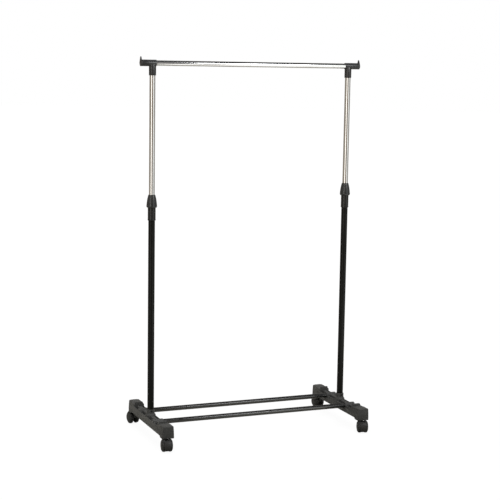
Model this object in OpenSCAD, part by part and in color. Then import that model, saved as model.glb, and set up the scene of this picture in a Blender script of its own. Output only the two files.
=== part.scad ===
// Rolling clothes rack: two moulded feet on twin-wheel casters, two telescoping uprights
// with twist-lock collars, and a hanging rail with end stops.
// X runs along the rail, Y from front to back, Z up. The origin is on the floor, in the middle.

/* [Overall] */
// Distance between the axes of the two uprights
upright_spacing = 812; // [700:1:950]
// Height of the hanging rail's axis above the floor
rail_height = 1436; // [1330:1:1640]
// Height of the left lock nut's top above the floor
left_nut_top = 942; // [880:1:960]
// How much higher the right lock nut is than the left one
right_nut_rise = 30; // [0:1:40]

/* [Tubes] */
// Outer diameter of the lower upright tubes
lower_d = 25.4; // [25:0.1:26]
// Wall of the lower upright tubes
lower_wall = 1.2; // [1:0.1:1.3]
// Outer diameter of the sliding upper tubes
upper_d = 22; // [21.6:0.1:22.2]
// Wall of the sliding upper tubes
upper_wall = 0.9; // [0.7:0.1:1.2]
// Length of the sliding upper tubes
upper_len = 825; // [800:1:850]
// Outer diameter of the hanging rail
rail_d = 20; // [18:0.5:21]
// Wall of the hanging rail
rail_wall = 0.8; // [0.7:0.1:1.2]
// Outer diameter of the two cross bars
bar_d = 19; // [16:0.5:19]
// Wall of the two cross bars
bar_wall = 1; // [0.8:0.1:1.5]

/* [Feet] */
// Length of a foot, front to back
foot_len = 438; // [420:1:450]
// Width of a foot at its underside
foot_w = 47; // [46:0.5:48]
// Width of a foot at the height of its pods' top
foot_top_w = 40.4; // [40:0.2:42]
// Height of the arm's underside above the floor
arm_bottom = 54.5; // [54:0.5:57]
// Height of the arm's spine above the floor
arm_top = 86; // [85:0.5:88]
// Height of the underside of the caster pods
pod_bottom = 49; // [49:0.5:51]
// Height of the caster pods' top at their outer ends
pod_top = 97; // [96:0.5:98]
// Height of the raised lip on each pod
lip_top = 102; // [100:0.5:103]
// Length of a caster pod
pod_len = 71; // [68:1:74]
// Distance from the foot's middle to each cross bar
bar_y = 87; // [84:1:90]
// Height of the cross bars' axes
bar_z = 80.6; // [80:0.1:82]
// Height of the top of the upright sockets
socket_top = 110; // [106:1:114]

/* [Collars] */
// Height of a lock nut
nut_h = 48.3; // [46:0.1:52]
// Diameter of a lock nut at its top
nut_top_d = 27; // [26.5:0.5:29]
// Largest diameter of a lock nut
nut_max_d = 41; // [40:0.5:44]
// Diameter of the sleeve below the nut
sleeve_d = 30; // [29.5:0.1:32]
// Length of the sleeve below the nut
sleeve_len = 49; // [40:1:60]

/* [Rail ends] */
// Outer diameter of a connector around the rail
tee_rail_d = 24.6; // [24:0.1:26]
// Outer diameter of a connector around the upright
tee_post_d = 27; // [26:0.5:28]
// How far a connector hangs below the rail's axis
tee_drop = 46; // [42:1:50]
// How far a connector reaches outwards from the upright's axis
tee_out = 44; // [40:1:50]
// Height of an end stop's tip above the rail's axis
stop_up = 24; // [20:1:28]
// Thickness of an end stop's plate
stop_t = 3.5; // [3:0.5:5]

/* [Casters] */
// Diameter of a caster wheel
wheel_d = 48; // [46:0.5:48]
// Overall width of a caster
caster_w = 45; // [44.5:0.5:46]
// Distance from the foot's middle to each caster's stem
stem_y = 196; // [190:1:196]
// Distance of each stem outwards from the foot's centre line
stem_out = 3; // [0:0.5:3]
// How far a caster's axle trails behind its stem
trail = 18; // [17.5:0.5:18.5]
// How the front left caster stands turned, anticlockwise from above
turn_front_left = -7; // [-20:1:20]
// How the front right caster stands turned
turn_front_right = -16; // [-20:1:20]
// How the back left caster stands turned
turn_back_left = 8; // [-20:1:20]
// How the back right caster stands turned
turn_back_right = 5; // [-20:1:20]

/* [Hidden] */

$fn = 64;
LEFT = -1;
RIGHT = 1;
FRONT = -1;
BACK = 1;

// Gaps: a round part that turns or slides in another, and parts that must never touch
run_gap = 0.08;
free_gap = 0.4;
eps = 0.01;

post_x = upright_spacing / 2;
function nut_top(side) = left_nut_top + (side == RIGHT ? right_nut_rise : 0);

// Colours
charcoal = [0.29, 0.29, 0.29];
black_steel = [0.11, 0.11, 0.12];
black_plastic = [0.16, 0.16, 0.16];
chrome = [0.8, 0.81, 0.83];
zinc = [0.6, 0.61, 0.62];
nylon = [0.7, 0.7, 0.68];

// Points of an arc, from angle a0 to a1
function arc(cx, cy, r, a0, a1, steps = 8) =
    [for (i = [0:steps]) let (a = a0 + (a1 - a0) * i / steps) [cx + r * cos(a), cy + r * sin(a)]];

// A tube along Z
module tube(d, wall, len) {
    difference() {
        cylinder(d = d, h = len);
        translate([0, 0, -1]) cylinder(d = d - 2 * wall, h = len + 2);
    }
}

// ---- Feet ----

wall_t = 2;
wall_top = 82.5;
spine_w = 14;
pocket_floor = 60;
bar_wall_w = 30;
socket_d = 31;
socket_base_d = 40;
socket_bore_bottom = 60;
boss_d = bar_d + 4.6;
bar_reach = 16;
corner_r = 6;
edge_r = 5;
end_draft = 2;
pod_low = 92.5;
crown = 2.5;
lip_t = 8;
lip_half = 16;
lip_r = 4.5;
stem_d = 11;
stem_hole_top = 77;
screw_z = 103;
screw_d = 4;
screw_head_d = 7;
screw_hole_d = 8;

pod_in = foot_len / 2 - pod_len;

// Side outline of one half of a foot, from its middle outwards
function half_profile() = concat(
    [[0, arm_bottom], [pod_in + 34, arm_bottom], [pod_in + 41, pod_bottom]],
    [[foot_len / 2 - 1.5, pod_bottom], [foot_len / 2, pod_bottom + 1.5]],
    arc(foot_len / 2 - end_draft - edge_r, pod_top - edge_r, edge_r, 3, 85),
    [[pod_in + 10, pod_low], [pod_in, pod_low], [pod_in, wall_top], [0, wall_top]]);

module foot_outline() {
    polygon(half_profile());
    mirror([1, 0]) polygon(half_profile());
}

// Outline of a foot seen along Y: sloping sides and a slightly crowned top
module foot_section() {
    half = foot_top_w / 2;
    polygon([[-foot_w / 2, pod_bottom], [foot_w / 2, pod_bottom], [half, pod_top - crown],
        [half * 0.6, pod_top - crown * 0.3], [half * 0.2, pod_top + eps], [-half * 0.2, pod_top + eps],
        [-half * 0.6, pod_top - crown * 0.3], [-half, pod_top - crown]]);
}

// Plan of a foot with rounded corners
module foot_plan() {
    hx = foot_w / 2 - corner_r;
    hy = foot_len / 2 - corner_r;
    polygon(concat(arc(hx, hy, corner_r, 0, 90), arc(-hx, hy, corner_r, 90, 180),
        arc(-hx, -hy, corner_r, 180, 270), arc(hx, -hy, corner_r, 270, 360)));
}

// Raised lip along the inner edge of the pod at +Y
module pod_lip() {
    intersection() {
        rotate([90, 0, 0]) translate([0, 0, -pod_in - lip_t]) linear_extrude(lip_t)
            polygon(concat([[-lip_half, wall_top - 1], [lip_half, wall_top - 1]],
                arc(lip_half - lip_r, lip_top - lip_r, lip_r, 0, 90, 6),
                arc(lip_r - lip_half, lip_top - lip_r, lip_r, 90, 180, 6)));
        rotate([90, 0, 90]) translate([0, 0, -lip_half - 1]) linear_extrude(2 * lip_half + 2)
            polygon(concat([[pod_in, wall_top - 2], [pod_in + lip_t, wall_top - 2]],
                arc(pod_in + lip_t - 4, lip_top - 4, 4, 0, 90, 6),
                [[pod_in + 1, lip_top], [pod_in, lip_top - 1]]));
    }
}

// The four openings in the arm's top along one side, beside the spine
module top_pockets() {
    pocket_w = foot_top_w / 2 - wall_t - spine_w / 2;
    rib_out = bar_y + bar_wall_w / 2;
    rib_in = bar_y - bar_wall_w / 2;
    for (s = [-1, 1], f = [-1, 1]) translate([s * (spine_w / 2 + pocket_w / 2), 0, 0]) {
        translate([-pocket_w / 2, f > 0 ? rib_out : -pod_in, pocket_floor])
            cube([pocket_w, pod_in - rib_out, 40]);
        translate([-pocket_w / 2, f > 0 ? 6 : -rib_in, pocket_floor])
            cube([pocket_w, rib_in - 6, 40]);
    }
}

// Hollow underside of a pod, round the caster's boss
module pod_hollow() {
    difference() {
        translate([-foot_w / 2 + 6, pod_in + 10, pod_bottom - 1])
            cube([foot_w - 12, pod_len - 17, pod_low - pod_bottom - 5]);
        translate([-stem_out, stem_y, 0]) cylinder(d = stem_d + 8, h = 200);
        translate([-stem_out - 1.5, pod_in, 0]) cube([3, pod_len, 200]);
    }
}

// Hollow underside of the arm's spine
module spine_hollow() {
    translate([-spine_w / 2 + 3, 26, arm_bottom - 1])
        cube([spine_w - 6, bar_y - bar_wall_w / 2 - 26, 22]);
    translate([-spine_w / 2 + 3, bar_y + bar_wall_w / 2, arm_bottom - 1])
        cube([spine_w - 6, pod_in - bar_y - bar_wall_w / 2, 22]);
}

// A foot, with its inner side towards +X
module foot_body() {
    difference() {
        union() {
            intersection() {
                union() {
                    difference() {
                        rotate([90, 0, 90]) translate([0, 0, -foot_w / 2])
                            linear_extrude(foot_w) foot_outline();
                        top_pockets();
                    }
                    // Spine
                    translate([-spine_w / 2, -pod_in - 1, wall_top - 1])
                        cube([spine_w, 2 * pod_in + 2, arm_top - wall_top + 1]);
                    // Rounded bosses for the cross bars
                    for (s = [-1, 1])
                        translate([-foot_w / 2, s * bar_y, bar_z]) rotate([0, 90, 0])
                            cylinder(d = boss_d, h = foot_w);
                }
                rotate([90, 0, 0]) translate([0, 0, -foot_len / 2]) linear_extrude(foot_len) foot_section();
                linear_extrude(200) foot_plan();
            }
            for (s = [0, 1]) mirror([0, s, 0]) pod_lip();
            // Upright socket
            translate([0, 0, pocket_floor - 1]) cylinder(d = socket_base_d, h = arm_top - pocket_floor + 3);
            translate([0, 0, arm_top + 2]) cylinder(d1 = socket_base_d, d2 = socket_d, h = 7);
            translate([0, 0, arm_top + 9]) cylinder(d = socket_d, h = socket_top - arm_top - 10);
            translate([0, 0, socket_top - 1]) cylinder(d1 = socket_d, d2 = socket_d - 2, h = 1);
        }
        translate([0, 0, socket_bore_bottom]) cylinder(d = lower_d, h = 200);
        for (s = [-1, 1]) {
            translate([-bar_reach, s * bar_y, bar_z]) rotate([0, 90, 0]) cylinder(d = bar_d, h = 60);
            translate([-stem_out, s * stem_y, pod_bottom - 1])
                cylinder(d = stem_d, h = stem_hole_top - pod_bottom + 1);
            translate([0, s * bar_y, arm_bottom - 1]) cylinder(d = screw_hole_d, h = 9);
            translate([0, s * bar_y, arm_bottom]) cylinder(d = screw_d, h = 18);
        }
        // Recess for the upright's screw, open to the front
        translate([0, 0, screw_z]) rotate([90, 0, 0]) cylinder(d = screw_hole_d, h = 60);
        for (s = [0, 1]) mirror([0, s, 0]) {
            pod_hollow();
            spine_hollow();
        }
    }
}

module foot(side) {
    color(charcoal) translate([side * post_x, 0, 0]) mirror([side == RIGHT ? 1 : 0, 0, 0]) foot_body();
}

// ---- Tubes of the base ----

module cross_bar(row) {
    len = upright_spacing + 2 * bar_reach - 1;
    color(black_steel) difference() {
        translate([-len / 2, row * bar_y, bar_z]) rotate([0, 90, 0]) tube(bar_d, bar_wall, len);
        for (side = [LEFT, RIGHT])
            translate([side * post_x, row * bar_y, bar_z - bar_d]) cylinder(d = screw_d, h = bar_d);
    }
}

// Self-tapping screws up through the arms into the cross bars
module cross_bar_screws() {
    color(zinc) for (side = [LEFT, RIGHT], row = [FRONT, BACK])
        translate([side * post_x, row * bar_y, arm_bottom]) {
            translate([0, 0, 5]) cylinder(d = screw_head_d, h = 3);
            translate([0, 0, 8 - eps]) cylinder(d = screw_d, h = 12);
        }
}

lower_top_drop = 22;

module lower_tube(side) {
    color(black_steel) translate([side * post_x, 0, socket_bore_bottom]) difference() {
        tube(lower_d, lower_wall, nut_top(side) - lower_top_drop - socket_bore_bottom);
        translate([0, 0, screw_z - socket_bore_bottom]) rotate([90, 0, 0]) cylinder(d = screw_d, h = 60);
    }
}

// Screws through the front of the sockets into the lower tubes
module upright_screws() {
    color(zinc) for (side = [LEFT, RIGHT])
        translate([side * post_x, -lower_d / 2, screw_z]) rotate([90, 0, 0]) {
            cylinder(d = screw_head_d, h = 2.2);
            translate([0, 0, -6]) cylinder(d = screw_d, h = 6 + eps);
        }
}

// ---- Twist-lock collars, drawn downwards from the nut's top ----

spigot_d = sleeve_d - 2;
nut_chamfer = 4.3;
collet_len = 16;

module lock_sleeve(side) {
    shoulder = nut_h + 0.3;
    color(black_plastic) translate([side * post_x, 0, nut_top(side)]) rotate_extrude() polygon([
        [lower_d / 2, -shoulder - sleeve_len], [sleeve_d / 2 - 0.4, -shoulder - sleeve_len],
        [sleeve_d / 2 + 0.5, -shoulder - sleeve_len + 1.2], [sleeve_d / 2 + 0.5, -shoulder - sleeve_len + 4],
        [sleeve_d / 2, -shoulder - sleeve_len + 4.6], [sleeve_d / 2, -shoulder - 0.6],
        [sleeve_d / 2 - 0.6, -shoulder], [spigot_d / 2, -shoulder],
        [spigot_d / 2, -lower_top_drop - 0.8], [spigot_d / 2 - 0.5, -lower_top_drop],
        [lower_d / 2, -lower_top_drop]]);
}

// Split ring that the nut squeezes on to the sliding tube
module lock_collet(side) {
    color(nylon) translate([side * post_x, 0, nut_top(side) - lower_top_drop]) difference() {
        rotate_extrude() polygon([
            [upper_d / 2 + run_gap, 0], [13.2, 0], [13.2, 3], [11.9, collet_len],
            [upper_d / 2 + run_gap, collet_len]]);
        for (a = [0:90:270]) rotate([0, 0, a + 45]) translate([0, -0.6, 4]) cube([30, 1.2, 30]);
    }
}

module lock_nut(side) {
    bore = spigot_d / 2 + run_gap;
    color(black_plastic) translate([side * post_x, 0, nut_top(side)]) rotate_extrude() polygon([
        [bore, -nut_h], [nut_max_d / 2 - 1.6, -nut_h], [nut_max_d / 2, -nut_h + nut_chamfer],
        [nut_max_d / 2 - 1.6, -28.6], [nut_max_d / 2 - 3.1, -17.5], [nut_top_d / 2 + 1.3, -6.5],
        [nut_top_d / 2, -0.8], [nut_top_d / 2 - 0.6, 0], [upper_d / 2 + 0.5, 0],
        [upper_d / 2 + 0.5, -lower_top_drop + collet_len + 0.8],
        [11.9 + free_gap, -lower_top_drop + collet_len + 0.8], [13.2 + free_gap, -lower_top_drop + 3],
        [13.2 + free_gap, -lower_top_drop + 0.6], [bore, -lower_top_drop + 0.6]]);
}

// ---- Sliding frame ----

upper_top = rail_height - rail_d / 2 - 1;
plug_t = 3;

module upper_tube(side) {
    color(chrome) translate([side * post_x, 0, upper_top - upper_len]) tube(upper_d, upper_wall, upper_len);
}

// Plug in the bottom of a sliding tube, which guides it inside the lower tube
module guide_plug(side) {
    inner = upper_d / 2 - upper_wall;
    outer = lower_d / 2 - lower_wall - run_gap;
    color(nylon) translate([side * post_x, 0, upper_top - upper_len]) rotate_extrude() polygon([
        [inner - 2, -plug_t], [outer - 0.5, -plug_t], [outer, -plug_t + 0.5], [outer, 0],
        [inner, 0], [inner, 16], [inner - 0.8, 17], [inner - 2, 17]]);
}

module rail_connector(side) {
    color(black_plastic) translate([side * post_x, 0, rail_height]) mirror([side == LEFT ? 1 : 0, 0, 0])
        difference() {
            union() {
                translate([-tee_post_d / 2 - 0.5, 0, 0]) rotate([0, 90, 0])
                    cylinder(d = tee_rail_d, h = tee_out + tee_post_d / 2 + 0.5);
                translate([0, 0, -tee_drop + 1]) cylinder(d = tee_post_d, h = tee_drop - 7);
                translate([0, 0, -tee_drop]) cylinder(d1 = tee_post_d - 1.6, d2 = tee_post_d, h = 1);
                translate([0, 0, -6]) cylinder(d1 = tee_post_d, d2 = tee_rail_d - 2, h = 6);
            }
            translate([-50, 0, 0]) rotate([0, 90, 0]) cylinder(d = rail_d, h = 150);
            translate([0, 0, -tee_drop - 1]) cylinder(d = upper_d, h = tee_drop + 1 - rail_d / 2 - 1);
        }
}

stop_r = 12.5;
stop_tip_r = 3.6;

// Teardrop plate that keeps hangers on the rail, with a spigot into the tube's end
module end_stop(side) {
    tip_z = stop_up - stop_tip_r;
    lean = asin((stop_r - stop_tip_r) / tip_z);
    color(black_plastic) translate([side * (post_x + tee_out), 0, rail_height])
    mirror([side == LEFT ? 1 : 0, 0, 0]) {
        rotate([90, 0, 90]) linear_extrude(stop_t) polygon(concat(
            arc(0, 0, stop_r, 180 - lean, 360 + lean, 40), arc(0, tip_z, stop_tip_r, lean, 180 - lean, 12)));
        translate([-14, 0, 0]) rotate([0, 90, 0]) cylinder(d = rail_d - 2 * rail_wall, h = 14 + eps);
    }
}

module hanging_rail() {
    len = upright_spacing + 2 * tee_out;
    color(chrome) translate([-len / 2, 0, rail_height]) rotate([0, 90, 0]) tube(rail_d, rail_wall, len);
}

// ---- Casters, drawn with the stem at the origin and the wheels trailing towards +Y ----

axle_z = wheel_d / 2;
axle_len = 36;
web_w = 10.8;
web_r = 16;
boss_r = 5.9;
journal_d = 7;
journal_bottom = 28;
hood_top = 47.4;
axle_d = 5;
wheel_in = 6.3;
skirt_in = wheel_d / 2 + 1.3;
skirt_out = skirt_in + 2;
skirt_w = 25;
skirt_low = -40;
skirt_high = 50;

function turn(side, row) = row == FRONT ? (side == LEFT ? turn_front_left : turn_front_right) :
    (side == LEFT ? turn_back_left : turn_back_right);

module at_caster(side, row) {
    translate([side * (post_x + stem_out), row * stem_y, 0]) rotate([0, 0, turn(side, row)])
        mirror([0, row == FRONT ? 1 : 0, 0]) children();
}

module caster_stem(side, row) {
    color(zinc) at_caster(side, row) {
        translate([0, 0, journal_bottom]) cylinder(d = journal_d, h = pod_bottom - journal_bottom);
        translate([0, 0, hood_top + 0.4]) cylinder(d = 14, h = pod_bottom - hood_top - 0.4);
        translate([0, 0, pod_bottom - eps]) cylinder(d = stem_d, h = 22);
        translate([0, 0, pod_bottom + 22 - 2 * eps]) cylinder(d1 = stem_d, d2 = stem_d - 3, h = 2);
    }
}

module caster_hood(side, row) {
    color(black_plastic) at_caster(side, row) difference() {
        union() {
            // Web between the wheels, in side outline
            rotate([90, 0, 90]) translate([0, 0, -web_w / 2]) linear_extrude(web_w) polygon(concat(
                [[-3, journal_bottom - 2], [-3, hood_top - 1], [4, hood_top - 1]],
                arc(trail, axle_z, skirt_in + 1, skirt_high - 3, skirt_low + 3, 24),
                arc(trail, axle_z, web_r, -60, -150, 8)));
            translate([0, 0, journal_bottom - 3]) cylinder(r = boss_r, h = hood_top - journal_bottom + 3);
            // Skirt round the trailing side
            translate([0, trail, axle_z]) rotate([90, 0, 90]) rotate([0, 0, skirt_low])
                rotate_extrude(angle = skirt_high - skirt_low)
                    translate([skirt_in, -skirt_w / 2]) square([skirt_out - skirt_in, skirt_w]);
        }
        translate([0, 0, journal_bottom - 0.5]) cylinder(d = journal_d + 2 * run_gap, h = 60);
        translate([-30, trail, axle_z]) rotate([0, 90, 0]) cylinder(d = axle_d, h = 60);
    }
}

module caster_axle(side, row) {
    color(zinc) at_caster(side, row)
        translate([-axle_len / 2, trail, axle_z]) rotate([0, 90, 0]) cylinder(d = axle_d, h = axle_len);
}

// A wheel with a domed outer face, on the side towards `out`
module wheel(side, row, out) {
    r = wheel_d / 2;
    color(black_plastic) at_caster(side, row) translate([0, trail, axle_z])
        mirror([out < 0 ? 1 : 0, 0, 0]) rotate([0, 90, 0]) rotate_extrude() polygon([
            [axle_d / 2 + run_gap, wheel_in], [7, wheel_in], [7, wheel_in + 7], [r - 5, wheel_in + 7],
            [r - 5, wheel_in + 0.6], [r - 1.2, wheel_in + 0.6], [r, wheel_in + 1.8], [r, 14.5],
            [r - 0.8, 16.2], [r - 2.4, 18], [r - 5.5, 19.9], [r - 10, 21.5], [r - 16, 22.3], [0, caster_w / 2],
            [0, axle_len / 2 + 0.4], [axle_d / 2 + run_gap, axle_len / 2 + 0.4]]);
}

foot(LEFT);  // foot_left
foot(RIGHT);  // foot_right
cross_bar(FRONT);  // cross_bar_front
cross_bar(BACK);  // cross_bar_back
lower_tube(LEFT);  // lower_tube_left
lower_tube(RIGHT);  // lower_tube_right
lock_sleeve(LEFT);  // lock_sleeve_left
lock_sleeve(RIGHT);  // lock_sleeve_right
lock_collet(LEFT);  // lock_collet_left
lock_collet(RIGHT);  // lock_collet_right
lock_nut(LEFT);  // lock_nut_left
lock_nut(RIGHT);  // lock_nut_right
upper_tube(LEFT);  // upper_tube_left
upper_tube(RIGHT);  // upper_tube_right
guide_plug(LEFT);  // guide_plug_left
guide_plug(RIGHT);  // guide_plug_right
rail_connector(LEFT);  // rail_connector_left
rail_connector(RIGHT);  // rail_connector_right
end_stop(LEFT);  // end_stop_left
end_stop(RIGHT);  // end_stop_right
hanging_rail();
upright_screws();
cross_bar_screws();
caster_stem(LEFT, FRONT);  // caster_stem_front_left
caster_stem(RIGHT, FRONT);  // caster_stem_front_right
caster_stem(LEFT, BACK);  // caster_stem_back_left
caster_stem(RIGHT, BACK);  // caster_stem_back_right
caster_hood(LEFT, FRONT);  // caster_hood_front_left
caster_hood(RIGHT, FRONT);  // caster_hood_front_right
caster_hood(LEFT, BACK);  // caster_hood_back_left
caster_hood(RIGHT, BACK);  // caster_hood_back_right
caster_axle(LEFT, FRONT);  // caster_axle_front_left
caster_axle(RIGHT, FRONT);  // caster_axle_front_right
caster_axle(LEFT, BACK);  // caster_axle_back_left
caster_axle(RIGHT, BACK);  // caster_axle_back_right
wheel(LEFT, FRONT, LEFT);  // wheel_outer_front_left
wheel(LEFT, FRONT, RIGHT);  // wheel_inner_front_left
wheel(RIGHT, FRONT, RIGHT);  // wheel_outer_front_right
wheel(RIGHT, FRONT, LEFT);  // wheel_inner_front_right
wheel(LEFT, BACK, LEFT);  // wheel_outer_back_left
wheel(LEFT, BACK, RIGHT);  // wheel_inner_back_left
wheel(RIGHT, BACK, RIGHT);  // wheel_outer_back_right
wheel(RIGHT, BACK, LEFT);  // wheel_inner_back_right
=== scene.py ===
"""Looks for the rolling clothes rack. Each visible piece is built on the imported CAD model."""

import math

import bmesh
import bpy
from mathutils import Matrix, Vector


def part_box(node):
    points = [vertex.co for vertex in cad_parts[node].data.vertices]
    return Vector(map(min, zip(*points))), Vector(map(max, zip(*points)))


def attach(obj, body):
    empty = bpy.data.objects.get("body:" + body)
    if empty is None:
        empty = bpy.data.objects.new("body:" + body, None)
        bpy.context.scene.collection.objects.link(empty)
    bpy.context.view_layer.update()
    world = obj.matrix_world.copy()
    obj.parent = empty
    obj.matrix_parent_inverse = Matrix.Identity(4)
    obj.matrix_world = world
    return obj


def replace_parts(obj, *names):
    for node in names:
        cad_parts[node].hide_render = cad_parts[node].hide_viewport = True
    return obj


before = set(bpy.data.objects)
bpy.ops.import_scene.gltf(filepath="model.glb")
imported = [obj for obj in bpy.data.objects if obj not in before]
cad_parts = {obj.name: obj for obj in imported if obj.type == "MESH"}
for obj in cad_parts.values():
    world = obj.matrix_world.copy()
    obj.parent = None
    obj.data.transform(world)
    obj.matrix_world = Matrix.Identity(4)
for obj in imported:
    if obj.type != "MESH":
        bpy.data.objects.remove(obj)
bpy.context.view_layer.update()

MM = 0.001
DEGREES = 180 / math.pi
SIDES = {"left": -1, "right": 1}
ROWS = {"front": -1, "back": 1}

# ---- Camera: the photograph's viewing angle ----

CAMERA_AT = (-1.9568, -4.8009, 1.4312)
CAMERA_AZIMUTH = -22.164
CAMERA_ELEVATION = 7.859
CAMERA_ROLL = 0.912
CAMERA_LENS = 96.07


def make_camera():
    data = bpy.data.cameras.new("camera")
    data.lens = CAMERA_LENS
    data.sensor_width = 36
    data.clip_start = 0.1
    data.clip_end = 60
    cam = bpy.data.objects.new("camera", data)
    bpy.context.scene.collection.objects.link(cam)
    turn = (
        Matrix.Rotation(math.radians(CAMERA_AZIMUTH), 4, "Z")
        @ Matrix.Rotation(math.radians(90 - CAMERA_ELEVATION), 4, "X")
        @ Matrix.Rotation(math.radians(CAMERA_ROLL), 4, "Z")
    )
    cam.matrix_world = Matrix.Translation(CAMERA_AT) @ turn
    bpy.context.scene.camera = cam


# ---- Materials ----


class Nodes:
    """A material's node tree, with short calls for the nodes used here."""

    def __init__(self, name):
        self.material = bpy.data.materials.new(name)
        self.material.use_nodes = True
        self.tree = self.material.node_tree
        self.shader = self.tree.nodes["Principled BSDF"]
        self.where = self.tree.nodes.new("ShaderNodeTexCoord").outputs["Object"]

    def link(self, a, b):
        self.tree.links.new(a, b)

    def scaled(self, x, y, z):
        """Object coordinates stretched along each axis, for brushed or drawn surfaces."""
        n = self.tree.nodes.new("ShaderNodeMapping")
        n.inputs["Scale"].default_value = (x, y, z)
        self.link(self.where, n.inputs["Vector"])
        return n.outputs["Vector"]

    def noise(self, scale, detail=3.0, rough=0.5, where=None):
        n = self.tree.nodes.new("ShaderNodeTexNoise")
        n.inputs["Scale"].default_value = scale
        n.inputs["Detail"].default_value = detail
        n.inputs["Roughness"].default_value = rough
        self.link(where or self.where, n.inputs["Vector"])
        return n.outputs["Fac"]

    def cells(self, scale, where=None):
        n = self.tree.nodes.new("ShaderNodeTexVoronoi")
        n.inputs["Scale"].default_value = scale
        self.link(where or self.where, n.inputs["Vector"])
        return n.outputs["Distance"]

    def ramp(self, value, stops):
        n = self.tree.nodes.new("ShaderNodeValToRGB")
        n.color_ramp.elements[0].position = stops[0][0]
        n.color_ramp.elements[1].position = stops[-1][0]
        for at, _ in stops[1:-1]:
            n.color_ramp.elements.new(at)
        for e, (_, c) in zip(n.color_ramp.elements, stops):
            e.color = (*c, 1) if isinstance(c, tuple) else (c, c, c, 1)
        self.link(value, n.inputs["Fac"])
        return n.outputs["Color"]

    def maths(self, how, a, b):
        n = self.tree.nodes.new("ShaderNodeMath")
        n.operation = how
        for socket, v in zip(n.inputs, (a, b)):
            if isinstance(v, (int, float)):
                socket.default_value = v
            else:
                self.link(v, socket)
        return n.outputs[0]

    def spread(self, value, low, high):
        """A noise value from about 0.3 to 0.7, spread from low to high."""
        n = self.tree.nodes.new("ShaderNodeMapRange")
        n.inputs["From Min"].default_value = 0.3
        n.inputs["From Max"].default_value = 0.7
        n.inputs["To Min"].default_value = low
        n.inputs["To Max"].default_value = high
        self.link(value, n.inputs["Value"])
        return n.outputs["Result"]

    def bump(self, height, depth, strength=1.0, onto=None):
        """A bump of that depth in metres, on top of another bump if one is given."""
        n = self.tree.nodes.new("ShaderNodeBump")
        n.inputs["Distance"].default_value = depth
        n.inputs["Strength"].default_value = strength
        self.link(height, n.inputs["Height"])
        if onto is not None:
            self.link(onto, n.inputs["Normal"])
        return n.outputs["Normal"]

    def set(self, **sockets):
        for name, v in sockets.items():
            socket = self.shader.inputs[name.replace("_", " ")]
            if isinstance(v, (int, float)):
                socket.default_value = v
            else:
                self.link(v, socket)


def textured_plastic(name, dark, light, rough=0.5, grain=2600):
    """Moulded plastic with a spark-eroded texture, faint flow marks and a little dust."""
    m = Nodes(name)
    flow = m.noise(14, 4, 0.6, m.scaled(1, 0.35, 1))
    speckle = m.noise(grain / 2, 2, 0.6)
    mixed = m.maths("ADD", m.maths("MULTIPLY", flow, 0.6), m.maths("MULTIPLY", speckle, 0.4))
    m.set(Base_Color=m.ramp(mixed, [(0.36, dark), (0.64, light)]))
    m.set(Roughness=m.spread(m.noise(45, 3), rough - 0.06, rough + 0.08))
    ripple = m.bump(m.noise(220, 2), 0.00005, 0.25)
    m.set(Normal=m.bump(m.noise(grain, 2, 0.7), 0.00006, 0.7, ripple))
    m.shader.inputs["Specular IOR Level"].default_value = 0.4
    return m.material


def powder_coat(name, dark, light, rough=0.32, shine=0.22):
    """Sprayed and baked black coat, with orange peel and a faint haze."""
    m = Nodes(name)
    haze = m.noise(9, 4, 0.55)
    m.set(Base_Color=m.ramp(haze, [(0.35, dark), (0.68, light)]))
    m.set(Roughness=m.spread(m.noise(38, 4, 0.6), rough - 0.05, rough + 0.09))
    peel = m.bump(m.noise(520, 1, 0.4), 0.00002, 0.5)
    m.set(Normal=m.bump(m.noise(2400, 2), 0.000006, 0.5, peel))
    m.shader.inputs["Specular IOR Level"].default_value = shine
    return m.material


def gloss_plastic(name, dark, light, rough=0.24, shine=0.36):
    """Glossy moulded plastic with slight sink marks and handling haze."""
    m = Nodes(name)
    m.set(Base_Color=m.ramp(m.noise(30, 3, 0.6), [(0.35, dark), (0.68, light)]))
    m.set(Roughness=m.spread(m.noise(70, 4, 0.6), rough - 0.05, rough + 0.10))
    fine = m.bump(m.noise(1500, 2), 0.000004, 0.6)
    m.set(Normal=m.bump(m.noise(110, 2), 0.00005, 0.35, fine))
    m.shader.inputs["Specular IOR Level"].default_value = shine
    return m.material


def chrome_plate(name, along):
    """Bright plating on drawn tube: fine lines along its length, a slight waviness and smudges."""
    m = Nodes(name)
    stretch = (8, 1, 1) if along == "Z" else (1, 1, 1)
    lines = m.scaled(1, 1, 0.012) if along == "Z" else m.scaled(0.012, 1, 1)
    smudges = m.noise(6, 3, 0.5, m.scaled(*stretch))
    tint = m.ramp(smudges, [(0.3, (0.63, 0.62, 0.61)), (0.7, (0.76, 0.77, 0.78))])
    m.set(Base_Color=tint, Metallic=1.0)
    m.set(Roughness=m.spread(m.noise(9, 3, 0.5), 0.09, 0.14))
    waviness = m.bump(m.noise(14, 1), 0.000005, 0.3)
    m.set(Normal=m.bump(m.noise(1500, 1, 0.5, lines), 0.0000008, 0.4, waviness))
    return m.material


def zinc_plate(name):
    """Zinc-plated steel with a faint spangle."""
    m = Nodes(name)
    spangle = m.ramp(m.cells(420), [(0.1, (0.42, 0.43, 0.45)), (0.8, (0.62, 0.63, 0.64))])
    m.set(Base_Color=spangle, Metallic=1.0)
    m.set(Roughness=m.spread(m.noise(300, 3), 0.25, 0.42))
    m.set(Normal=m.bump(m.noise(1800, 2), 0.00001, 0.4))
    return m.material


def natural_nylon(name):
    """Unpigmented nylon, slightly mottled."""
    m = Nodes(name)
    m.set(Base_Color=m.ramp(m.noise(90, 3), [(0.35, (0.5, 0.49, 0.45)), (0.65, (0.62, 0.61, 0.56))]))
    m.set(Roughness=m.spread(m.noise(200, 3), 0.35, 0.5))
    m.set(Normal=m.bump(m.noise(900, 2), 0.00001, 0.5))
    return m.material


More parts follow.
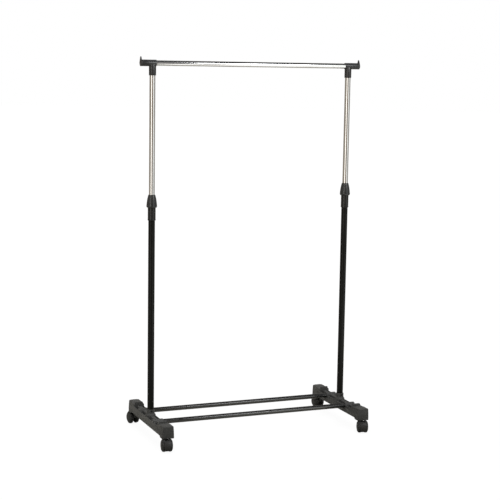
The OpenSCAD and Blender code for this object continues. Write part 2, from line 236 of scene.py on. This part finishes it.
def wheel_plastic(name, dark, light):
    """Hard nylon wheel: fine texture, uneven shine and a little floor dust."""
    m = Nodes(name)
    dust = m.noise(160, 5, 0.7)
    m.set(Base_Color=m.ramp(dust, [(0.35, dark), (0.7, light)]))
    m.set(Roughness=m.spread(m.noise(90, 4, 0.6), 0.36, 0.55))
    ripple = m.bump(m.noise(260, 2), 0.00003, 0.3)
    m.set(Normal=m.bump(m.noise(1900, 2, 0.6), 0.00003, 0.5, ripple))
    m.shader.inputs["Specular IOR Level"].default_value = 0.35
    return m.material


# The nuts and the rail's ends are moulded in a slightly bluer plastic than the sleeves
SHEEN_DARK = (0.024, 0.025, 0.026)
SHEEN_LIGHT = (0.035, 0.036, 0.037)


def grey(value, warmth=0.0):
    """A grey that has less blue in it the warmer it is."""
    return (value, value, value - warmth)


def make_materials():
    return {
        "foot_plastic": textured_plastic("foot_plastic", grey(0.034, 0.001), grey(0.050, 0.002)),
        "black_tube": powder_coat("black_tube", grey(0.005, 0.001), grey(0.009, 0.001), 0.32, 0.15),
        "black_bar": powder_coat("black_bar", grey(0.006), grey(0.011), 0.16, 1.0),
        "dark_steel": powder_coat("dark_steel", grey(0.008), grey(0.014), 0.5),
        "collar_plastic": gloss_plastic("collar_plastic", grey(0.014), grey(0.022, 0.001)),
        "sheen_plastic": gloss_plastic("sheen_plastic", SHEEN_DARK, SHEEN_LIGHT, 0.28, 0.5),
        "chrome_post": chrome_plate("chrome_post", "Z"),
        "chrome_rail": chrome_plate("chrome_rail", "X"),
        "caster_plastic": textured_plastic("caster_plastic", grey(0.013), grey(0.022, 0.001), 0.42, 2200),
        "wheel_plastic": wheel_plastic("wheel_plastic", grey(0.013), grey(0.023, 0.001)),
        "zinc": zinc_plate("zinc"),
        "nylon": natural_nylon("nylon"),
    }


# ---- Mesh helpers ----


def new_piece(name, mesh, material, body):
    ob = bpy.data.objects.new(name, mesh)
    bpy.context.scene.collection.objects.link(ob)
    mesh.materials.clear()
    mesh.materials.append(material)
    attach(ob, body)
    return ob


def shade(mesh, angle=32):
    """Smooth shading, with edges sharper than angle kept crisp."""
    bm = bmesh.new()
    bm.from_mesh(mesh)
    limit = math.radians(angle)
    for f in bm.faces:
        f.smooth = True
    for e in bm.edges:
        e.smooth = len(e.link_faces) == 2 and e.calc_face_angle(0) < limit
    bm.to_mesh(mesh)
    bm.free()


def fillet(points, steps=5):
    """A closed outline in which each (x, y, r) corner is rounded to radius r."""
    out = []
    n = len(points)
    for i, (x, y, r) in enumerate(points):
        p = Vector((x, y))
        a = Vector(points[i - 1][:2]) - p
        b = Vector(points[(i + 1) % n][:2]) - p
        if r <= 0 or a.length < 1e-9 or b.length < 1e-9:
            out.append((x, y))
            continue
        half = a.angle(b) / 2
        reach = min(r / math.tan(half), a.length * 0.49, b.length * 0.49)
        start, end = p + a.normalized() * reach, p + b.normalized() * reach
        for k in range(steps + 1):
            t = k / steps
            q = start * (1 - t) ** 2 + p * 2 * t * (1 - t) + end * t**2
            out.append((q.x, q.y))
    return out


UP = (0, 0, 1)
ALONG = (1, 0, 0)
# Sides of a turned part that is seen close up
ROUND = 96


def lathe(name, outline, at, axis=UP, segments=72):
    """A ring turned from a closed (radius, height) outline in millimetres, at a point in metres."""
    bm = bmesh.new()
    rings = []
    for r, h in outline:
        if r < 1e-6:
            rings.append([bm.verts.new((0, 0, h * MM))] * segments)
            continue
        ring = []
        for k in range(segments):
            a = 2 * math.pi * k / segments
            ring.append(bm.verts.new((r * MM * math.cos(a), r * MM * math.sin(a), h * MM)))
        rings.append(ring)
    for i, ring in enumerate(rings):
        after = rings[(i + 1) % len(rings)]
        if ring[0] is ring[1] and after[0] is after[1]:
            continue
        for k in range(segments):
            j = (k + 1) % segments
            corners = [ring[k], ring[j], after[j], after[k]]
            unique = list(dict.fromkeys(corners))
            if len(unique) > 2:
                bm.faces.new(unique)
    turn = Vector((0, 0, 1)).rotation_difference(Vector(axis)).to_matrix().to_4x4()
    bm.transform(Matrix.Translation(at) @ turn)
    bmesh.ops.recalc_face_normals(bm, faces=bm.faces)
    mesh = bpy.data.meshes.new(name)
    bm.to_mesh(mesh)
    bm.free()
    shade(mesh)
    return mesh


def softened(node, radius, segments=2, sharp=30):
    """A copy of a CAD node's mesh with its flat faces made whole and its edges rounded."""
    bm = bmesh.new()
    bm.from_mesh(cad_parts[node].data)
    bmesh.ops.remove_doubles(bm, verts=bm.verts, dist=0.00001)
    bmesh.ops.dissolve_limit(bm, angle_limit=math.radians(1.5), verts=bm.verts, edges=bm.edges)
    limit = math.radians(sharp)
    edges = [e for e in bm.edges if len(e.link_faces) == 2 and e.calc_face_angle(0) > limit]
    bmesh.ops.bevel(
        bm, geom=edges, offset=radius * MM, segments=segments, profile=0.5, affect="EDGES",
        clamp_overlap=True)
    mesh = bpy.data.meshes.new(node + "_soft")
    bm.to_mesh(mesh)
    bm.free()
    shade(mesh, 50)
    return mesh


def middle(node):
    low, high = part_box(node)
    return (low + high) / 2


def span(node):
    low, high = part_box(node)
    return (high - low) / MM


# ---- Pieces ----


def tube_outline(outer, wall, length, lip=0.35):
    r, half = outer / 2, length / 2
    return fillet([(r - wall, -half, lip), (r, -half, lip), (r, half, lip), (r - wall, half, lip)], 3)


def add_piece(name, mesh, material, body, node):
    """A piece that takes the place of a CAD node."""
    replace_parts(new_piece(name, mesh, material, body), node)


def make_tube(node, name, axis, wall, material, body):
    size = span(node)
    length = size.z if axis == UP else size.x
    mesh = lathe(name, tube_outline(size.y, wall, length), middle(node), axis)
    add_piece(name, mesh, material, body, node)


def make_feet(mats):
    for side in SIDES:
        node = f"foot_{side}"
        mesh = softened(node, 0.8)
        add_piece(f"moulded_{node}", mesh, mats["foot_plastic"], "base", node)


# The lock's two parts as (radius, height, corner radius): the nut from its top, the sleeve from its foot
NUT = [
    (14.1, -48.3, 0.4), (18.9, -48.3, 0.8), (20.5, -44, 2.5), (18.9, -28.6, 12), (17.4, -17.5, 12),
    (14.9, -6.5, 9), (13.5, -1.2, 1.5), (12.6, 0, 0.9), (11.4, 0, 0.5), (11.4, -5, 0.2), (12.4, -6, 0.2),
    (13.6, -19, 0.2), (13.6, -21.4, 0.2), (14.1, -21.4, 0.2)]
SLEEVE = [
    (12.7, 0, 0.3), (14.6, 0, 0.5), (15.5, 1.2, 0.6), (15.5, 4, 0.5), (15, 4.7, 0.5), (15, 48.4, 0.6),
    (14.4, 49, 0.2), (14, 49, 0.1), (14, 74.8, 0.3), (13.5, 75.6, 0.3), (12.7, 75.6, 0.1)]


def make_collars(mats):
    for side in SIDES:
        node, name = f"lock_nut_{side}", f"twist_nut_{side}"
        x, top = middle(node).x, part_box(node)[1].z
        mesh = lathe(name, fillet(NUT, 6), (x, 0, top), UP, ROUND)
        add_piece(name, mesh, mats["sheen_plastic"], f"nut_{side}", node)
        node, name = f"lock_sleeve_{side}", f"collar_sleeve_{side}"
        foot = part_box(node)[0].z
        mesh = lathe(name, fillet(SLEEVE, 4), (x, 0, foot), UP, ROUND)
        add_piece(name, mesh, mats["collar_plastic"], "base", node)


def make_tubes(mats):
    for side in SIDES:
        make_tube(f"lower_tube_{side}", f"lower_post_{side}", UP, 1.2, mats["black_tube"], "base")
        post = mats["chrome_post"]
        make_tube(f"upper_tube_{side}", f"chrome_post_{side}", UP, 0.9, post, "hanger_frame")
    for row in ROWS:
        make_tube(f"cross_bar_{row}", f"tie_bar_{row}", ALONG, 1.0, mats["black_bar"], "base")
    make_tube("hanging_rail", "chrome_rail", ALONG, 0.8, mats["chrome_rail"], "hanger_frame")


def make_rail_ends(mats):
    for side in SIDES:
        for node, name, radius in (("rail_connector", "tee", 0.7), ("end_stop", "rail_stop", 0.8)):
            mesh = softened(f"{node}_{side}", radius, 3)
            material = mats["sheen_plastic"]
            add_piece(f"{name}_{side}", mesh, material, "hanger_frame", f"{node}_{side}")


# Half of a caster's wheel pair as (radius, distance from the hood's middle, corner radius)
WHEEL = [
    (2.6, 6.3, 0.3), (7, 6.3, 0.5), (7, 13.3, 0.5), (19, 13.3, 0.5), (19, 6.9, 0.5), (22.6, 6.9, 1.6),
    (24, 8.6, 2.2), (24, 14.3, 3), (22.6, 17.4, 3), (19.5, 19.5, 4), (18.2, 20.3, 0.3),
    (17.6, 20.1, 0.3), (16.9, 20.6, 0.4), (9, 22.3, 8), (0, 22.5, 0), (0, 18.4, 0), (2.6, 18.4, 0.1)]


def make_casters(mats):
    wheel = fillet(WHEEL, 5)
    for row, front_back in ROWS.items():
        for side, left_right in SIDES.items():
            where = f"{row}_{side}"
            node, name = f"caster_hood_{where}", f"hood_{where}"
            mesh = softened(node, 0.6)
            add_piece(name, mesh, mats["caster_plastic"], f"caster_{where}", node)
            axle = middle(f"caster_axle_{where}")
            trail = axle - middle(f"caster_stem_{where}")
            across = Vector((trail.y, -trail.x, 0)).normalized() * front_back
            for pair, out in (("outer", left_right), ("inner", -left_right)):
                node = f"wheel_{pair}_{where}"
                name = f"{node}_tread"
                mesh = lathe(name, wheel, axle, across * out, ROUND)
                add_piece(name, mesh, mats["wheel_plastic"], f"{node}_body", node)


def dress_cad_nodes(mats):
    """The small and inner pieces keep their CAD meshes and get their finish."""
    finishes = {
        "lock_collet": "nylon", "guide_plug": "nylon", "caster_stem": "zinc", "caster_axle": "zinc",
        "upright_screws": "dark_steel", "cross_bar_screws": "zinc"}
    for node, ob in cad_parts.items():
        for start, finish in finishes.items():
            if node.startswith(start):
                ob.data.materials.clear()
                ob.data.materials.append(mats[finish])


# ---- Stage ----


class StudioNodes:
    """Node calls for the studio's surroundings, which are painted by direction."""

    def __init__(self, tree):
        self.tree = tree

    def node(self, kind, *links, **settings):
        n = self.tree.nodes.new(kind)
        for k, v in settings.items():
            setattr(n, k, v)
        for socket, v in zip(n.inputs, links):
            if isinstance(v, (int, float, tuple)):
                socket.default_value = v
            elif v is not None:
                self.tree.links.new(v, socket)
        return n

    def window(self, value, low, high, soft):
        """1 where value is between low and high, falling to 0 over soft on each side."""
        smooth = {"interpolation_type": "SMOOTHSTEP"}
        up = self.node("ShaderNodeMapRange", value, low - soft, low, 0.0, 1.0, **smooth)
        down = self.node("ShaderNodeMapRange", value, high, high + soft, 1.0, 0.0, **smooth)
        return self.maths("MULTIPLY", up.outputs[0], down.outputs[0])

    def maths(self, how, *values):
        return self.node("ShaderNodeMath", *values, operation=how).outputs[0]

    def ramp(self, value, stops):
        n = self.node("ShaderNodeValToRGB", value)
        n.color_ramp.elements[0].position = stops[0][0]
        n.color_ramp.elements[1].position = stops[-1][0]
        for at, _ in stops[1:-1]:
            n.color_ramp.elements.new(at)
        for e, (_, c) in zip(n.color_ramp.elements, stops):
            e.color = (*c, 1)
        return n.outputs[0]

    def scale(self, colour, by):
        n = self.node("ShaderNodeVectorMath", colour, operation="SCALE")
        if isinstance(by, (int, float)):
            n.inputs["Scale"].default_value = by
        else:
            self.tree.links.new(by, n.inputs["Scale"])
        return n.outputs[0]

    def add(self, a, b):
        return self.node("ShaderNodeVectorMath", a, b, operation="ADD").outputs[0]


# Share of the floor's brightness that is its own, so that only faint shadows lie on it
FLOOR_GLOW = 0.94
# A patch of the floor with painted light on it: it glows by itself, as a pool of light from the
# right-hand softbox would, and only shiny surfaces see it; in metres to the right and to the front of the
# middle
PAINTED_FLOOR_GLOW = {"right": (0.1, 2.6), "front": (0.75, 3.0)}
# Radius of the floor that shiny surfaces mirror; beyond it they mirror the studio's walls
MIRRORED_FLOOR = 2.8


def make_floor():
    """A white floor. To the rack's own surfaces it is the grey of a studio floor."""
    material = bpy.data.materials.new("studio_floor")
    material.use_nodes = True
    tree = material.node_tree
    tree.nodes.clear()
    k = StudioNodes(tree)
    where = k.node("ShaderNodeTexCoord").outputs["Object"]
    grain = k.node("ShaderNodeTexNoise", where)
    grain.inputs["Scale"].default_value = 2
    pale = k.ramp(grain.outputs["Fac"], [(0.3, (0.78, 0.78, 0.78)), (0.7, (0.81, 0.81, 0.81))])
    path = k.node("ShaderNodeLightPath")
    white = k.node("ShaderNodeBsdfDiffuse", pale)
    lit = k.node("ShaderNodeEmission", (1, 1, 1, 1))
    seen = k.node("ShaderNodeMixShader", FLOOR_GLOW, white.outputs[0], lit.outputs[0])

    # Matt surfaces get light from a dim floor; shiny ones mirror a near floor with a patch of painted
    # light on it, which glows by itself
    dim = k.node("ShaderNodeBsdfDiffuse", (0.13, 0.13, 0.12, 1))
    x, y, _ = k.node("ShaderNodeSeparateXYZ", where).outputs
    front = k.maths("MULTIPLY", y, -1.0)
    across = k.window(x, *PAINTED_FLOOR_GLOW["right"], 0.2)
    along = k.window(front, *PAINTED_FLOOR_GLOW["front"], 0.15)
    plain_floor = k.node("ShaderNodeBsdfDiffuse", (0.28, 0.27, 0.24, 1))
    # Painted light: the patch glows by itself, standing in for the right-hand softbox's pool of light on
    # the floor
    painted_floor_light = k.node("ShaderNodeEmission", (1.7, 1.68, 1.62, 1))
    painted_light_mask = k.maths("MULTIPLY", across, along)
    mirrored = k.node("ShaderNodeMixShader", painted_light_mask, plain_floor.outputs[0], painted_floor_light.outputs[0])
    shiny = path.outputs["Is Glossy Ray"]
    near = k.node("ShaderNodeMixShader", shiny, dim.outputs[0], mirrored.outputs[0])
    clear = k.node("ShaderNodeBsdfTransparent", (1, 1, 1, 1))
    distance = k.node("ShaderNodeVectorMath", where, operation="LENGTH").outputs[1]
    far = k.maths("GREATER_THAN", distance, MIRRORED_FLOOR)
    gone = k.maths("MULTIPLY", far, shiny)
    studio = k.node("ShaderNodeMixShader", gone, near.outputs[0], clear.outputs[0])
    mix = k.node("ShaderNodeMixShader", path.outputs["Is Camera Ray"], studio.outputs[0], seen.outputs[0])
    k.node("ShaderNodeOutputMaterial", mix.outputs[0])
    bm = bmesh.new()
    bmesh.ops.create_circle(bm, cap_ends=True, segments=96, radius=40)
    mesh = bpy.data.meshes.new("studio_floor")
    bm.to_mesh(mesh)
    bm.free()
    mesh.materials.append(material)
    ob = bpy.data.objects.new("studio_floor", mesh)
    bpy.context.scene.collection.objects.link(ob)


# The studio by direction: azimuth 0 is towards the front (-Y) and 90 towards +X, in degrees
LEFT_BOX = {"azimuth": (-58, -40), "elevation": (-18, 46), "colour": (2.4, 2.35, 2.25)}
RIGHT_BOX = {"azimuth": (20, 38), "elevation": (-18, 25), "colour": (1.4, 1.37, 1.27)}
# Walls of the studio, as (azimuth, colour), which darken upwards between two elevations
WALL_TOP = (30.0, 56.0)
WALLS = [
    (-180, (0.20, 0.18, 0.16)), (-136, (0.34, 0.29, 0.24)), (-86, (0.42, 0.38, 0.30)),
    (-62, (0.28, 0.25, 0.20)), (-34, (0.30, 0.24, 0.18)), (-12, (0.27, 0.20, 0.14)),
    (4, (0.24, 0.20, 0.17)), (26, (0.32, 0.38, 0.42)), (52, (0.36, 0.37, 0.36)),
    (72, (0.52, 0.48, 0.44)), (112, (0.36, 0.35, 0.32)), (180, (0.20, 0.18, 0.16))]
# Light on matt surfaces: a broad light overhead, weaker ones at the sides, and a little all round
SKY_TOP, SKY_LEFT, SKY_RIGHT, SKY_BASE = 5.0, 0.42, 0.2, 0.03


def lobe(k, value, strength, focus=1.0):
    """Light that is strongest where value is 1 and falls to nothing at 0."""
    return k.maths("MULTIPLY", k.maths("POWER", k.maths("MAXIMUM", value, 0.0), focus), strength)


def make_world():
    world = bpy.data.worlds.new("studio")
    world.use_nodes = True
    tree = world.node_tree
    tree.nodes.clear()
    k = StudioNodes(tree)
    direction = k.node("ShaderNodeTexCoord").outputs["Generated"]
    x, y, z = k.node("ShaderNodeSeparateXYZ", direction).outputs
    bearing = k.maths("ARCTAN2", x, k.maths("MULTIPLY", y, -1.0))
    azimuth = k.maths("MULTIPLY", bearing, DEGREES)
    elevation = k.maths("MULTIPLY", k.maths("ARCSINE", z), DEGREES)

    # What shiny surfaces mirror
    share = k.node("ShaderNodeMapRange", azimuth, -180.0, 180.0, 0.0, 1.0).outputs[0]
    walls = k.ramp(share, [((a + 180) / 360, c) for a, c in WALLS])
    height = k.node("ShaderNodeMapRange", elevation, *WALL_TOP, 1.0, 0.1).outputs[0]
    mirrored = k.scale(walls, height)
    for box in (LEFT_BOX, RIGHT_BOX):
        across = k.window(azimuth, *box["azimuth"], 2.5)
        up = k.window(elevation, *box["elevation"], 4.0)
        mirrored = k.add(mirrored, k.scale(box["colour"], k.maths("MULTIPLY", across, up)))

    # What lights matt surfaces
    total = k.maths("ADD", lobe(k, z, SKY_TOP, 4.0), SKY_BASE)
    left = k.maths("MULTIPLY", x, -1.0)
    for value, strength in ((left, SKY_LEFT), (x, SKY_RIGHT)):
        total = k.maths("ADD", total, lobe(k, value, strength))
    soft = k.scale((1.0, 1.0, 1.0), total)

    path = k.node("ShaderNodeLightPath")
    shiny = k.node("ShaderNodeBackground", mirrored)
    matt = k.node("ShaderNodeBackground", soft)
    seen = k.node("ShaderNodeBackground", (1, 1, 1, 1))
    lit = k.node("ShaderNodeMixShader", path.outputs["Is Glossy Ray"], matt.outputs[0], shiny.outputs[0])
    mix = k.node("ShaderNodeMixShader", path.outputs["Is Camera Ray"], lit.outputs[0], seen.outputs[0])
    k.node("ShaderNodeOutputWorld", mix.outputs[0])
    bpy.context.scene.world = world


# A bank of lamps in front, high enough to be mirrored in the cross bars and not in the posts
LAMP_BANK = {"at": (1.1, -2.4, 2.4), "wide": 1.4, "high": 0.7, "watts": 26}


def make_lamp_bank():
    lamp = bpy.data.lights.new("lamp_bank", "AREA")
    lamp.shape = "RECTANGLE"
    lamp.size, lamp.size_y, lamp.energy = LAMP_BANK["wide"], LAMP_BANK["high"], LAMP_BANK["watts"]
    ob = bpy.data.objects.new("lamp_bank", lamp)
    ob.location = LAMP_BANK["at"]
    ob.rotation_euler = (math.radians(90), 0, 0)
    ob.visible_diffuse = False
    ob.visible_camera = False
    bpy.context.scene.collection.objects.link(ob)


make_camera()
mats = make_materials()
make_feet(mats)
make_collars(mats)
make_tubes(mats)
make_rail_ends(mats)
make_casters(mats)
dress_cad_nodes(mats)
make_floor()
make_world()
make_lamp_bank()
bpy.context.scene.view_settings.view_transform = "Standard"
